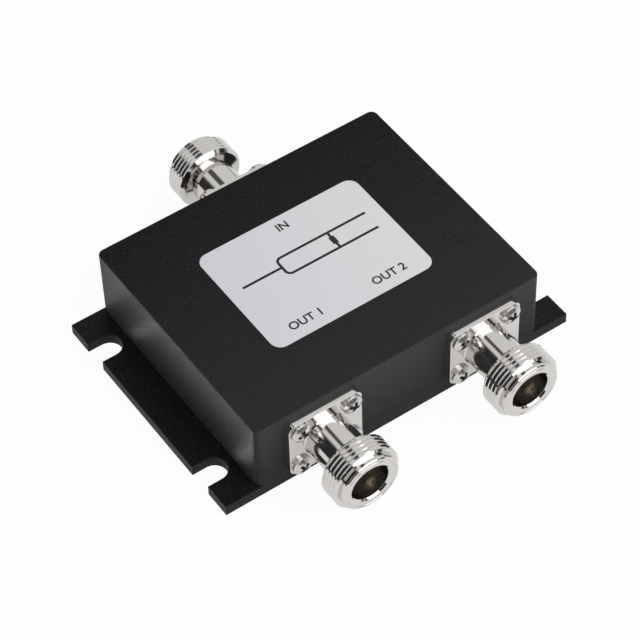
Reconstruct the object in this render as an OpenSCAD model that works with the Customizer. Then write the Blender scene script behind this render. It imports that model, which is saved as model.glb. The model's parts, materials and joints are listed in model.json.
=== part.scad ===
// Two-way RF power splitter: a slotted box housing with one input jack and two output jacks.
// Millimetres, +Z up, origin at the bottom centre. The outputs face -Y and the input faces +Y.

/* [Housing] */
// Width of the box without its wings
body_w = 72; // [68:1:84]
// Depth of the box between the front and back walls
body_d = 60; // [56:1:72]
// Height of the box
body_h = 21; // [20.5:0.5:26]
// Radius of the upright corners
corner_r = 1.6; // [0.5:0.1:2.5]
// Thickness of the walls that carry the jacks
end_wall = 5; // [4.8:0.1:6]
// Thickness of the plain side walls
side_wall = 3; // [2.5:0.1:4]

/* [Mounting wings] */
// How far each wing stands out from the box
wing_w = 8; // [7.5:0.1:12]
// Thickness of the wings
wing_t = 3; // [2:0.1:4]
// Width of the open mounting slots
slot_w = 6; // [4:0.1:6.5]
// Depth of the slots from the outer edge of the wing
slot_depth = 6.4; // [5:0.1:7]
// Distance between the two slots of a wing
slot_pitch = 40.8; // [34:0.2:44]

/* [Bottom cover] */
// Thickness of the cover plate
cover_t = 2; // [1.8:0.1:3]
// How far the cover lies inside the bottom plane
cover_recess = 0.2; // [0.1:0.05:0.5]
// Width of the ledge that carries the cover
ledge_w = 1.5; // [1:0.1:1.8]
// Clearance all round the cover
cover_gap = 0.1; // [0.05:0.05:0.3]
// Radius of the corner posts
post_r = 3.2; // [2.8:0.1:4]
// Distance of the post centres from the inner walls
post_inset = 2.6; // [2.4:0.1:3]

/* [Panel jacks] */
// Distance between the two output jacks
jack_pitch = 40.5; // [38:0.5:44]
// Height of the jack axes above the bottom
jack_z = 11.6; // [11:0.1:12.2]
// Width of the jack flange
flange_w = 18; // [17.4:0.1:19]
// Height of the jack flange
flange_h = 15.4; // [15:0.1:16.4]
// Thickness of the jack flange
flange_t = 2; // [1.8:0.1:2.6]
// Corner radius of the jack flange
flange_r = 1.8; // [0.8:0.1:2.2]
// Distance from the wall to the front face of a jack
jack_len = 17.8; // [17.5:0.1:20]
// Radius of the plain neck
neck_r = 5.2; // [5:0.1:5.6]
// Distance from the wall to the end of the neck
neck_end = 10.4; // [9.8:0.1:11]
// Length of the shoulder cone between the neck and the barrel
back_cone = 0.3; // [0.2:0.1:0.6]
// Radius of the barrel over its thread crests
barrel_r = 7.9375; // [7.5:0.0125:8.4]
// Length of the smooth collar in front of the barrel
collar_len = 0.8; // [0.7:0.1:1.2]
// Radius of the collar and of the shoulder, where the barrel's end bevels begin
collar_r = 6.9; // [6.6:0.1:7.2]
// Bevel of the collar rim
collar_bevel = 0.35; // [0.1:0.05:0.6]
// Radius of the mouth that takes the plug
mouth_r = 4.5; // [4.2:0.1:4.6]
// Depth of the mouth down to the insulator
mouth_depth = 8.4; // [7.6:0.1:9]
// Bevel of the mouth
mouth_bevel = 0.4; // [0.2:0.05:0.6]

/* [Insulator and contact] */
// Radius of the insulator inside the neck
insul_r = 3.5; // [3.2:0.1:3.8]
// Radius of the insulator collar behind the flange
insul_collar_r = 4.3; // [4.1:0.1:4.5]
// Length of the insulator collar
insul_collar_l = 1.2; // [0.8:0.1:1.5]
// Radius of the insulator tail in the wall
tail_r = 2.15; // [1.9:0.05:2.4]
// Radius of the contact socket
contact_r = 1.5; // [1.35:0.05:1.7]
// Radius of the hole that takes the plug pin
contact_bore_r = 0.85; // [0.7:0.05:1]
// Depth of the hole that takes the plug pin
contact_bore_l = 5; // [3.8:0.1:6]
// Distance of the contact tip from the front face
contact_tip = 5; // [4.4:0.1:5.6]
// Width of the spring slits in the contact
slit_w = 0.35; // [0.2:0.05:0.5]
// Distance between the slit ends and the insulator
slit_margin = 0.3; // [0.1:0.05:0.8]
// Radius of the rear pin
pin_r = 0.65; // [0.5:0.05:0.8]
// How far the rear pin reaches into the box
pin_reach = 4; // [3:0.1:5]
// Clearance between fitted parts
fit_gap = 0.02; // [0.01:0.005:0.05]

/* [Jack screws] */
// Distance between the flange screws along the wall
hole_dx = 12.6; // [12.2:0.1:13]
// Distance between the flange screws in height
hole_dz = 10.6; // [10.2:0.1:11]
// Radius of a screw shank
shank_r = 1.25; // [1:0.05:1.4]
// Clearance of a screw in a through hole
hole_gap = 0.1; // [0.05:0.05:0.2]
// Radius of a pan head
head_r = 2.35; // [2:0.05:2.45]
// Height of a pan head
head_h = 1.6; // [1.3:0.05:1.9]
// Radius of the dome of a pan head
dome_r = 3.2; // [2.8:0.1:5]
// Length of a flange screw inside the wall
bite = 3.6; // [2.5:0.1:4]
// Width of the cross recess
cross_w = 0.6; // [0.4:0.05:0.8]
// Span of the cross recess
cross_l = 2.6; // [2:0.1:3]
// Depth of the cross recess
cross_h = 0.9; // [0.5:0.05:1]

/* [Cover screws] */
// Radius of a countersunk head
csk_r = 2.3; // [2:0.05:2.4]
// Height of a countersunk head
csk_h = 1.3; // [1:0.05:1.5]
// Length of a cover screw inside its post
cover_bite = 6; // [4:0.1:8]

/* [Circuit board] */
// Thickness of the board
board_t = 1; // [0.8:0.1:1.6]
// Clearance round the board
board_gap = 0.25; // [0.15:0.05:0.5]
// Thickness of the copper track
track_t = 0.1; // [0.05:0.01:0.2]
// Width of the track at the ports
line_w = 2.2; // [1.8:0.1:2.6]
// Width of the track in the three loops
arm_w = 1.2; // [0.8:0.1:1.6]
// Mean radius of a loop
loop_r = 5.2; // [4.8:0.1:5.4]
// Gap between the two arms at a joint of the loops
joint_gap = 0.9; // [0.6:0.1:1.2]
// Length of a chip resistor
chip_l = 2; // [1.8:0.1:2.4]
// Width of a chip resistor
chip_w = 1.25; // [1:0.05:1.6]
// Height of a chip resistor
chip_h = 0.5; // [0.35:0.05:0.7]
// Solder film between a rear pin and the track
solder_film = 0.06; // [0.04:0.01:0.1]
// Thickness of the solder round a rear pin
solder_t = 0.5; // [0.3:0.05:0.7]
// Length of a solder joint
solder_l = 2.6; // [2:0.1:2.8]
// Radius of the board screw heads
board_head_r = 2.1; // [1.9:0.05:2.2]
// Length of a board screw inside the housing
board_bite = 4; // [3:0.1:5]
// Distance of the outer board screws from the inner walls
board_screw_inset = 5; // [4.6:0.1:5.4]
// Distance between the board screws along a side wall
board_screw_dy = 18; // [14:0.5:22]
// Distance between the board screws beside the input
board_screw_dx = 24; // [18:0.5:28]
// Offset of the middle loop towards the back
loop_shift = 1.1; // [0.5:0.1:1.8]
// Distance of the track ends from the inner walls
track_margin = 1; // [0.6:0.1:1.3]
// Length of the cut that parts the arms at a joint
joint_cut = 5; // [3.6:0.1:6]

/* [Label] */
// Length of the label along the width of the box
label_w = 40.5; // [34:0.5:50]
// Length of the label along the depth of the box
label_d = 30.8; // [26:0.2:40]
// Corner radius of the label
label_r = 2.6; // [1:0.1:4]
// Thickness of the label
label_t = 0.15; // [0.1:0.05:0.3]
// Offset of the label towards the back
label_y = 0.5; // [-2:0.1:2]

/* [Hidden] */
$fn = 64;
eps = 0.5;
overall_w = body_w + 2 * wing_w;
inner_w = body_w - 2 * side_wall;
inner_d = body_d - 2 * end_wall;
cover_seat = cover_recess + cover_t;
track_z = jack_z + pin_r + solder_film;
board_z = track_z + track_t;
ceiling_z = board_z + board_t;
post_x = inner_w / 2 - post_inset;
post_y = inner_d / 2 - post_inset;
out_x = jack_pitch / 2;
front_y = -body_d / 2;
back_y = body_d / 2;
tip_s = jack_len - contact_tip;
insul_s = jack_len - mouth_depth;
socket_back = flange_t + insul_collar_l;
barrel_end = jack_len - collar_len;
barrel_bevel = barrel_r - collar_r;
shoulder_s = neck_end + back_cone;
slit_l = tip_s - insul_s - slit_margin;
tap_r = shank_r + fit_gap;
clear_r = shank_r + hole_gap;
loop_step = 2 * loop_r;
loop_y = loop_shift + loop_step;
end_joint_y = loop_shift - loop_step - loop_r;
track_end_y = inner_d / 2 - track_margin;
cover_w = inner_w + 2 * (ledge_w - cover_gap);
cover_d = inner_d + 2 * (ledge_w - cover_gap);
side_screw_x = inner_w / 2 - board_screw_inset;
end_screw_y = inner_d / 2 - board_screw_inset;
board_screw_at = [
    [side_screw_x, board_screw_dy / 2],
    [side_screw_x, -board_screw_dy / 2],
    [-side_screw_x, board_screw_dy / 2],
    [-side_screw_x, -board_screw_dy / 2],
    [board_screw_dx / 2, end_screw_y],
    [-board_screw_dx / 2, end_screw_y],
    [0, -end_screw_y]
];

// Flat shapes

module rounded_flat(w, d, r) {
    union() {
        square([w - 2 * r, d], center = true);
        square([w, d - 2 * r], center = true);
        for (sx = [-1, 1], sy = [-1, 1]) {
            translate([sx * (w / 2 - r), sy * (d / 2 - r)])
                circle(r);
        }
    }
}

module slot_flat() {
    union() {
        translate([-slot_depth + slot_w / 2, 0])
            circle(slot_w / 2);
        translate([-slot_depth + slot_w / 2, -slot_w / 2])
            square([slot_depth - slot_w / 2 + eps, slot_w]);
    }
}

// Placement of the three jacks: local +Z runs out of the wall, local +Y points up

module at_output_1() {
    translate([-out_x, front_y, jack_z])
        rotate([90, 0, 0])
            children();
}

module at_output_2() {
    translate([out_x, front_y, jack_z])
        rotate([90, 0, 0])
            children();
}

module at_input() {
    translate([0, back_y, jack_z])
        rotate([0, 0, 180])
            rotate([90, 0, 0])
                children();
}

module at_posts() {
    for (sx = [-1, 1], sy = [-1, 1]) {
        translate([sx * post_x, sy * post_y, 0])
            children();
    }
}

module at_flange_screws() {
    for (sx = [-1, 1], sy = [-1, 1]) {
        translate([sx * hole_dx / 2, sy * hole_dz / 2, 0])
            children();
    }
}

// Fasteners

module cross_cut(depth) {
    translate([-cross_l / 2, -cross_w / 2, -depth])
        cube([cross_l, cross_w, depth + eps]);
    translate([-cross_w / 2, -cross_l / 2, -depth])
        cube([cross_w, cross_l, depth + eps]);
}

module pan_screw(r, grip) {
    difference() {
        union() {
            intersection() {
                cylinder(r = r, h = head_h);
                translate([0, 0, head_h - dome_r])
                    sphere(dome_r);
            }
            translate([0, 0, -grip])
                cylinder(r = shank_r, h = grip + head_h / 2);
        }
        translate([0, 0, head_h])
            cross_cut(cross_h);
    }
}

module countersunk_screw() {
    difference() {
        union() {
            cylinder(r1 = csk_r, r2 = shank_r, h = csk_h);
            cylinder(r = shank_r, h = cover_t + cover_bite);
        }
        rotate([180, 0, 0])
            cross_cut(cross_h);
    }
}

// Jack parts in local coordinates

module jack_wall_holes() {
    translate([0, 0, -end_wall - eps])
        cylinder(r = tail_r + fit_gap, h = end_wall + 2 * eps);
    at_flange_screws()
        translate([0, 0, -bite - eps])
            cylinder(r = tap_r, h = bite + 2 * eps);
}

module jack_shell() {
    difference() {
        union() {
            linear_extrude(height = flange_t)
                rounded_flat(flange_w, flange_h, flange_r);
            rotate_extrude()
                polygon([
                    [0, 0],
                    [neck_r, 0],
                    [neck_r, neck_end],
                    [collar_r, shoulder_s],
                    [barrel_r, shoulder_s + barrel_bevel],
                    [barrel_r, barrel_end - barrel_bevel],
                    [collar_r, barrel_end],
                    [collar_r, jack_len - collar_bevel],
                    [collar_r - collar_bevel, jack_len],
                    [0, jack_len]
                ]);
        }
        translate([0, 0, insul_s])
            cylinder(r = mouth_r, h = mouth_depth + eps);
        translate([0, 0, jack_len - mouth_bevel])
            cylinder(r1 = mouth_r, r2 = mouth_r + mouth_bevel + eps, h = mouth_bevel + eps);
        translate([0, 0, -eps])
            cylinder(r = insul_r + fit_gap, h = jack_len);
        translate([0, 0, -eps])
            cylinder(r = insul_collar_r + fit_gap, h = insul_collar_l + eps);
        at_flange_screws()
            translate([0, 0, -eps])
                cylinder(r = clear_r, h = flange_t + 2 * eps);
    }
}

module jack_insulator() {
    difference() {
        union() {
            translate([0, 0, -end_wall])
                cylinder(r = tail_r, h = end_wall + eps);
            cylinder(r = insul_collar_r, h = insul_collar_l);
            cylinder(r = insul_r, h = insul_s);
        }
        translate([0, 0, -end_wall - eps])
            cylinder(r = pin_r + fit_gap, h = end_wall + insul_s);
        translate([0, 0, socket_back])
            cylinder(r = contact_r + fit_gap, h = insul_s);
    }
}

module jack_contact() {
    difference() {
        union() {
            translate([0, 0, -end_wall - pin_reach])
                cylinder(r = pin_r, h = end_wall + pin_reach + socket_back + eps);
            translate([0, 0, socket_back])
                cylinder(r = contact_r, h = tip_s - socket_back);
        }
        translate([0, 0, tip_s - contact_bore_l])
            cylinder(r = contact_bore_r, h = contact_bore_l + eps);
        for (turn = [45, 135]) {
            rotate([0, 0, turn])
                translate([-contact_r - eps, -slit_w / 2, tip_s - slit_l])
                    cube([2 * contact_r + 2 * eps, slit_w, slit_l + eps]);
        }
    }
}

module jack_screws() {
    at_flange_screws()
        translate([0, 0, flange_t])
            rotate([0, 0, 20])
                pan_screw(head_r, flange_t + bite);
}

// Housing and cover

module housing() {
    color([0.06, 0.06, 0.065])
        difference() {
            union() {
                linear_extrude(height = body_h)
                    rounded_flat(body_w, body_d, corner_r);
                linear_extrude(height = wing_t)
                    difference() {
                        square([overall_w, body_d], center = true);
                        for (side = [0, 180], sy = [-1, 1]) {
                            rotate([0, 0, side])
                                translate([overall_w / 2, sy * slot_pitch / 2])
                                    slot_flat();
                        }
                    }
            }
            difference() {
                translate([-inner_w / 2, -inner_d / 2, -eps])
                    cube([inner_w, inner_d, ceiling_z + eps]);
                at_posts()
                    translate([0, 0, cover_seat])
                        cylinder(r = post_r, h = ceiling_z);
            }
            translate([-inner_w / 2 - ledge_w, -inner_d / 2 - ledge_w, -eps])
                cube([inner_w + 2 * ledge_w, inner_d + 2 * ledge_w, cover_seat + eps]);
            at_posts()
                translate([0, 0, cover_seat - eps])
                    cylinder(r = tap_r, h = cover_bite + 2 * eps);
            for (p = board_screw_at) {
                translate([p[0], p[1], ceiling_z - eps])
                    cylinder(r = tap_r, h = board_bite + 2 * eps);
            }
            at_output_1()
                jack_wall_holes();
            at_output_2()
                jack_wall_holes();
            at_input()
                jack_wall_holes();
        }
}

module bottom_cover() {
    color([0.07, 0.07, 0.075])
        difference() {
            translate([0, 0, cover_recess])
                linear_extrude(height = cover_t)
                    square([cover_w, cover_d], center = true);
            at_posts()
                translate([0, 0, cover_recess]) {
                    translate([0, 0, -eps])
                        cylinder(r = tap_r, h = cover_t + 2 * eps);
                    cylinder(r1 = csk_r + fit_gap, r2 = shank_r + fit_gap, h = csk_h);
                }
        }
}

module cover_screws() {
    color([0.55, 0.55, 0.56])
        at_posts()
            translate([0, 0, cover_recess])
                countersunk_screw();
}

// Circuit

module circuit_board() {
    color([0.83, 0.8, 0.7])
        translate([0, 0, board_z])
            linear_extrude(height = board_t)
                difference() {
                    square([inner_w - 2 * board_gap, inner_d - 2 * board_gap], center = true);
                    at_posts()
                        circle(post_r + board_gap);
                    for (p = board_screw_at) {
                        translate(p)
                            circle(clear_r);
                    }
                }
}

module track_pattern() {
    color([0.8, 0.5, 0.3])
        translate([0, 0, track_z])
            linear_extrude(height = track_t)
                difference() {
                    union() {
                        translate([-line_w / 2, loop_y + loop_r])
                            square([line_w, track_end_y - loop_y - loop_r]);
                        for (i = [0:2]) {
                            translate([0, loop_y - i * loop_step])
                                difference() {
                                    circle(loop_r + arm_w / 2);
                                    circle(loop_r - arm_w / 2);
                                }
                        }
                        translate([-out_x - line_w / 2, end_joint_y - line_w / 2])
                            square([2 * out_x + line_w, line_w]);
                        for (sx = [-1, 1]) {
                            translate([sx * out_x - line_w / 2, -track_end_y])
                                square([line_w, end_joint_y + track_end_y]);
                        }
                    }
                    for (i = [1:3]) {
                        translate([-joint_gap / 2, loop_y + loop_r - i * loop_step - joint_cut / 2])
                            square([joint_gap, joint_cut]);
                    }
                }
}

module isolation_resistors() {
    color([0.12, 0.12, 0.13])
        for (i = [1:3]) {
            translate([-chip_l / 2, loop_y + loop_r - i * loop_step - chip_w / 2, track_z - chip_h])
                cube([chip_l, chip_w, chip_h]);
        }
}

module board_screws() {
    color([0.6, 0.6, 0.61])
        for (p = board_screw_at) {
            translate([p[0], p[1], board_z])
                rotate([180, 0, 0])
                    pan_screw(board_head_r, board_t + board_bite);
        }
}

module solder_joint() {
    translate([0, 0, -end_wall - pin_reach])
        difference() {
            intersection() {
                cylinder(r = pin_r + solder_t, h = solder_l);
                translate([-line_w, -line_w, -eps])
                    cube([2 * line_w, line_w + pin_r + solder_film, solder_l + 2 * eps]);
            }
            translate([0, 0, -eps])
                cylinder(r = pin_r, h = solder_l + 2 * eps);
        }
}

module solder_joints() {
    color([0.72, 0.72, 0.74]) {
        at_input()
            solder_joint();
        at_output_1()
            solder_joint();
        at_output_2()
            solder_joint();
    }
}

module label() {
    color([0.78, 0.79, 0.81])
        translate([0, label_y, body_h])
            linear_extrude(height = label_t)
                rounded_flat(label_w, label_d, label_r);
}

// Input jack on the back wall

module input_shell() {
    color([0.8, 0.79, 0.77])
        at_input()
            jack_shell();
}

module input_insulator() {
    color([0.93, 0.93, 0.91])
        at_input()
            jack_insulator();
}

module input_contact() {
    color([0.78, 0.6, 0.3])
        at_input()
            jack_contact();
}

module input_screws() {
    color([0.74, 0.74, 0.73])
        at_input()
            jack_screws();
}

// First output jack, on the left of the front wall

module output_1_shell() {
    color([0.8, 0.79, 0.77])
        at_output_1()
            jack_shell();
}

module output_1_insulator() {
    color([0.93, 0.93, 0.91])
        at_output_1()
            jack_insulator();
}

module output_1_contact() {
    color([0.78, 0.6, 0.3])
        at_output_1()
            jack_contact();
}

module output_1_screws() {
    color([0.74, 0.74, 0.73])
        at_output_1()
            jack_screws();
}

// Second output jack, on the right of the front wall

module output_2_shell() {
    color([0.8, 0.79, 0.77])
        at_output_2()
            jack_shell();
}

module output_2_insulator() {
    color([0.93, 0.93, 0.91])
        at_output_2()
            jack_insulator();
}

module output_2_contact() {
    color([0.78, 0.6, 0.3])
        at_output_2()
            jack_contact();
}

module output_2_screws() {
    color([0.74, 0.74, 0.73])
        at_output_2()
            jack_screws();
}

housing();
bottom_cover();
cover_screws();
circuit_board();
track_pattern();
isolation_resistors();
board_screws();
solder_joints();
label();
input_shell();
input_insulator();
input_contact();
input_screws();
output_1_shell();
output_1_insulator();
output_1_contact();
output_1_screws();
output_2_shell();
output_2_insulator();
output_2_contact();
output_2_screws();
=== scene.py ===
"""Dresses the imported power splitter: coated box, plated jacks, label, finishes, light and camera."""

import json
import math

import bmesh
import bpy
from bpy.props import FloatProperty, FloatVectorProperty, IntProperty, PointerProperty
from mathutils import Matrix, Vector


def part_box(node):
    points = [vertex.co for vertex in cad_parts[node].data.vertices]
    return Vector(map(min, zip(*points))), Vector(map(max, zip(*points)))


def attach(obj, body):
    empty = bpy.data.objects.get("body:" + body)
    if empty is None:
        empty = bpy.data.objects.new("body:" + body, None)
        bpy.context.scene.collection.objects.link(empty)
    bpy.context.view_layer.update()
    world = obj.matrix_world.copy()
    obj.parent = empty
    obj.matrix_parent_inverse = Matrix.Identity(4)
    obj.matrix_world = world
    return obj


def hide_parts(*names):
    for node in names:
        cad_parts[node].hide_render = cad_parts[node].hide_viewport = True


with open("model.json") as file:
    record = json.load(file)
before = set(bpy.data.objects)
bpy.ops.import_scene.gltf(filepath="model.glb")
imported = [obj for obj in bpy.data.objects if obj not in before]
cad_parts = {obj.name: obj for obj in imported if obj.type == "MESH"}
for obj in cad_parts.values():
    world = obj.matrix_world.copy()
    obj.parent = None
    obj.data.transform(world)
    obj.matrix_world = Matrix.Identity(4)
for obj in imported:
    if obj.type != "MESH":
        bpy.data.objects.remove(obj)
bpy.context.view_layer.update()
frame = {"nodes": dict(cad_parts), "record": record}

bl_info = {
    "name": "Power Splitter Dress",
    "version": (1, 0, 0),
    "blender": (4, 5, 0),
    "location": "3D View > Sidebar > Splitter",
    "description": "Builds the visible pieces, finishes and studio of a coaxial power splitter",
    "category": "Object",
}

MM = 0.001
BODY = "root"
JACKS = ("input", "output_1", "output_2")
MOUNTS = {mount["name"]: mount for mount in frame["record"]["mounts"]}
BOX_LOW, BOX_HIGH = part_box("housing")
LABEL_LOW, LABEL_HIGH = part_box("label")
SHELL_LOW, SHELL_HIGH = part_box("output_1_shell")
CREST_RADIUS = MOUNTS["input_thread"]["dims"]["r_mm"]
FLANGE_WIDTH = (SHELL_HIGH.x - SHELL_LOW.x) / MM
JACK_LENGTH = (SHELL_HIGH.y - SHELL_LOW.y) / MM

# Fineness of the meshes; creases are in degrees
WELD = 1e-6
AROUND = 128
ARC_STEPS = 12
HOLE_STEPS = 32
THREAD_ROWS = 40
FLAT_LIMIT = math.radians(0.2)
FORM_CREASE = 35
CUT_CREASE = 32
SHELL_CREASE = 8

# Small forms of the shells and screws
AXIS_RADIUS = 0.02 * MM
NECK_FILLET = 0.25 * MM
COLLAR_ROUND = 0.12 * MM
FACE_ROUND = 0.1 * MM
MOUTH_ROUND = 0.06 * MM
BORE_ROUND = 0.08 * MM
GROOVE_INSET = 0.85 * MM
GROOVE_DEPTH = 0.06 * MM
GROOVE_TOP = 0.14 * MM
GROOVE_FLOOR = 0.09 * MM
HEAD_BEVEL = 0.05 * MM
HEAD_RIM_TURN = 0.55
CUT_LIFT = 0.3 * MM

# Weight of the letters and place of the diagram's fork, as shares of their sizes
LETTER_WEIGHT = 0.02
FORK_SHARE = 0.42

# Where the coat of a wall, with its painted light, begins and how fast it fades in
WALL_SKIN = 0.25 * MM
WALL_FADE = 0.2 * MM
WING_FADE = 0.6 * MM

# Grain of the finishes, in cells to the metre
COAT_GRAIN = 2600
COAT_PEEL = 650
COAT_SPECKS = 2100
PLATE_HAZE = 260
TURNING_RINGS = 9000
PRESSED_HAZE = 900
FILM_FLAKE = 5200
FILM_FIBRE = (300.0, 5200.0, 300.0)
INK_SPREAD = 4200
CLOTH_WEAVE = 420

# Directions and plain white of the studio
RIGHT = (1.0, 0.0, 0.0)
BACK = (0.0, 1.0, 0.0)
UP = (0.0, 0.0, 1.0)
WHITE = (1.0, 1.0, 1.0, 1.0)


def number(name, description, default, **more):
    """A plain number property."""
    return FloatProperty(name=name, description=description, default=default, **more)


def length(name, description, default):
    """A length property, written in millimetres and kept in metres."""
    return number(name, description, default * MM, unit="LENGTH", precision=5)


def angle(name, description, degrees):
    """An angle property, written in degrees."""
    return number(name, description, math.radians(degrees), subtype="ANGLE")


def place(name, description, default, subtype="TRANSLATION", **more):
    """A property of several numbers, in metres unless its subtype says otherwise."""
    return FloatVectorProperty(name=name, description=description, default=default, size=len(default),
                               subtype=subtype, **more)


def colour(name, description, default):
    """A colour property."""
    return place(name, description, default, "COLOR", min=0.0, max=1.0)


def share(name, description, default):
    """A property that runs from nothing to all."""
    return number(name, description, default, min=0.0, max=1.0, subtype="FACTOR")


class BoxSettings(bpy.types.PropertyGroup):
    """Sizes of the coated box."""

    body_width: length("Body width", "Width of the box without its wings", 72)
    corner_radius: length("Corner radius", "Radius of the upright corners", 1.6)
    wing_thickness: length("Wing thickness", "Thickness of the mounting wings", 3)
    slot_width: length("Slot width", "Width of an open mounting slot", 6)
    slot_depth: length("Slot depth", "Depth of a slot from the wing's outer edge", 6.4)
    slot_pitch: length("Slot pitch", "Distance between the slots of a wing", 40.8)
    edge_round: length("Edge rounding", "Rounding of the coated edges", 0.28)
    skin: length("Skin", "How far the rounding form stands off the flat faces", 0.004)


class JackSettings(bpy.types.PropertyGroup):
    """Sizes of a panel jack, measured out from the wall."""

    flange_width: length("Flange width", "Width of the flange", FLANGE_WIDTH)
    flange_height: length("Flange height", "Height of the flange", 15.4)
    flange_thickness: length("Flange thickness", "Thickness of the flange", 2)
    flange_corner: length("Flange corner", "Corner radius of the flange", 1.8)
    flange_edge: length("Flange edge", "Rounding of the flange edges", 0.1)
    hole_across: length("Holes across", "Distance between flange holes along the wall", 12.6)
    hole_up: length("Holes up", "Distance between flange holes in height", 10.6)
    hole_radius: length("Hole radius", "Radius of a flange hole", 1.35)
    neck_radius: length("Neck radius", "Radius of the plain neck", 5.2)
    neck_end: length("Neck end", "Where the neck ends", 10.4)
    shoulder: length("Shoulder", "Where the barrel's rear bevel begins", 11)
    ring_start: length("Ring start", "Where the smooth ring behind the barrel begins", 10.7)
    barrel_radius: length("Barrel radius", "Radius over the thread crests", CREST_RADIUS)
    thread_pitch: length("Thread pitch", "Advance of the thread in a turn", 25.4 / 24)
    thread_depth: length("Thread depth", "Depth of the thread", 0.11)
    crest_flat: share("Crest flat", "Share of the pitch on which the crest is level", 0.58)
    root_flat: share("Root flat", "Share of the pitch on which the root is level", 0.02)
    rear_foot: length("Rear foot", "Radius at the foot of the barrel's rear bevel", 7.2)
    front_foot: length("Front foot", "Radius at the foot of the barrel's front bevel", 7.45)
    collar_start: length("Collar start", "Where the smooth collar begins", 16.5)
    collar_radius: length("Collar radius", "Radius of the collar and of the shoulder", 6.9)
    collar_bevel: length("Collar bevel", "Bevel of the rim", 0.25)
    front: length("Front", "Distance of the front face from the wall", JACK_LENGTH)
    mouth_radius: length("Mouth radius", "Radius of the mouth", 4.5)
    mouth_bevel: length("Mouth bevel", "Bevel of the mouth", 0.4)
    mouth_floor: length("Mouth floor", "Where the insulator begins", 9.4)
    insulator_radius: length("Insulator bore", "Radius of the bore round the insulator", 3.52)
    seat_radius: length("Seat radius", "Radius of the insulator's seat behind the flange", 4.32)
    seat_depth: length("Seat depth", "Depth of the insulator's seat", 1.2)
    contact_radius: length("Contact radius", "Radius round the contact socket", 1.51)
    contact_round: length("Contact rounding", "Rounding of the contact's tip", 0.5)
    contact_depth: length("Contact depth", "Distance of the contact's tip from the front face", 5)


class ScrewSettings(bpy.types.PropertyGroup):
    """Sizes of a pan-head screw."""

    head_radius: length("Head radius", "Radius of the head", 2.35)
    head_height: length("Head height", "Height of the head", 1.6)
    dome_radius: length("Dome radius", "Radius of the dome", 3.2)
    rim_round: length("Rim rounding", "Rounding of the head's rim", 0.28)
    shank_radius: length("Shank radius", "Radius of the shank", 1.25)
    shank_length: length("Shank length", "Length under the head", 5.6)
    cross_span: length("Cross span", "Span of the cross recess at the top", 3.2)
    cross_width: length("Cross width", "Width of the cross recess at the top", 0.85)
    cross_depth: length("Cross depth", "Depth of the cross recess", 1.1)
    cross_taper: share("Cross taper", "Size of the recess at its bottom, as a share of the top", 0.5)
    seed: IntProperty(name="Seed", description="Sets how far each screw is turned", default=4)


class LabelSettings(bpy.types.PropertyGroup):
    """Sizes of the label and its print."""

    corner_radius: length("Corner radius", "Corner radius of the label", 2.6)
    edge_round: length("Edge rounding", "Rounding of the label's edge", 0.04)
    print_height: length("Print height", "Thickness of the ink", 0.012)
    letter_height: length("Letter height", "Size of the port marks", 2.9)
    stroke: length("Stroke", "Width of the lines of the diagram", 0.62)
    diagram_length: length("Diagram length", "Length of the branch diagram", 33)
    diagram_height: length("Diagram height", "Height of the branch diagram", 5.6)
    diagram_rise: share("Diagram rise", "Its place behind the middle, as a share of the depth", 0.09)
    in_rise: share("Input rise", "Place of its mark behind the middle, as a share of the depth", 0.4)
    out_drop: share("Output drop", "Place of their marks before the middle, as a share of the depth", 0.385)
    out_shift: share("Output shift", "Place of their marks to the sides, as a share of the width", 0.26)


class FinishSettings(bpy.types.PropertyGroup):
    """Colours and gloss of the finishes."""

    coat: colour("Coat", "Black coat of the box, towards the back", (0.002, 0.002, 0.0022))
    # Painted reflection: a greyer copy of the black coat that the top and wings take on towards the front
    coat_painted_reflection: colour("Coat, front", "Black coat of the box, towards the front", (0.02, 0.02, 0.0207))
    # Painted light: a lighter copy of the black coat for the side walls and the top of the front wall
    coat_painted_side_light: colour("Coat, sides", "Black coat of the side walls", (0.04, 0.04, 0.0418))
    coat_worn: colour("Coat specks", "Lighter specks in the coat", (0.03, 0.03, 0.031))
    coat_roughness: share("Coat roughness", "Roughness of the coat", 0.48)
    nickel: colour("Nickel", "Plating of the jacks", (0.69, 0.67, 0.65))
    nickel_roughness: share("Nickel roughness", "Roughness of the plating", 0.085)
    # Painted shade: the screw metal darkened in the cross recesses, where shade falls
    recess: colour("Recess", "Darkened metal in the cross recesses", (0.3, 0.29, 0.28))
    # Painted shade: the plating darkened inside the mouths, where shade falls
    bore: colour("Bore", "Darkened metal inside the mouths", (0.42, 0.40, 0.38))
    label: colour("Label", "Silver film of the label", (0.84, 0.84, 0.845))
    label_cool: colour("Label, cool side", "Silver film towards the left", (0.75, 0.77, 0.835))
    ink: colour("Ink", "Print on the label", (0.012, 0.012, 0.013))
    gold: colour("Gold", "Plating of the contacts", (0.90, 0.78, 0.60))
    insulator: colour("Insulator", "White insulators", (0.80, 0.79, 0.76))
    steel: colour("Steel", "Zinc-plated screws", (0.50, 0.50, 0.51))
    laminate: colour("Laminate", "Bare circuit board", (0.62, 0.58, 0.45))
    copper: colour("Copper", "Track pattern", (0.72, 0.38, 0.22))
    chip: colour("Chip", "Chip resistors", (0.03, 0.03, 0.035))
    solder: colour("Solder", "Solder joints", (0.60, 0.60, 0.62))


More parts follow.
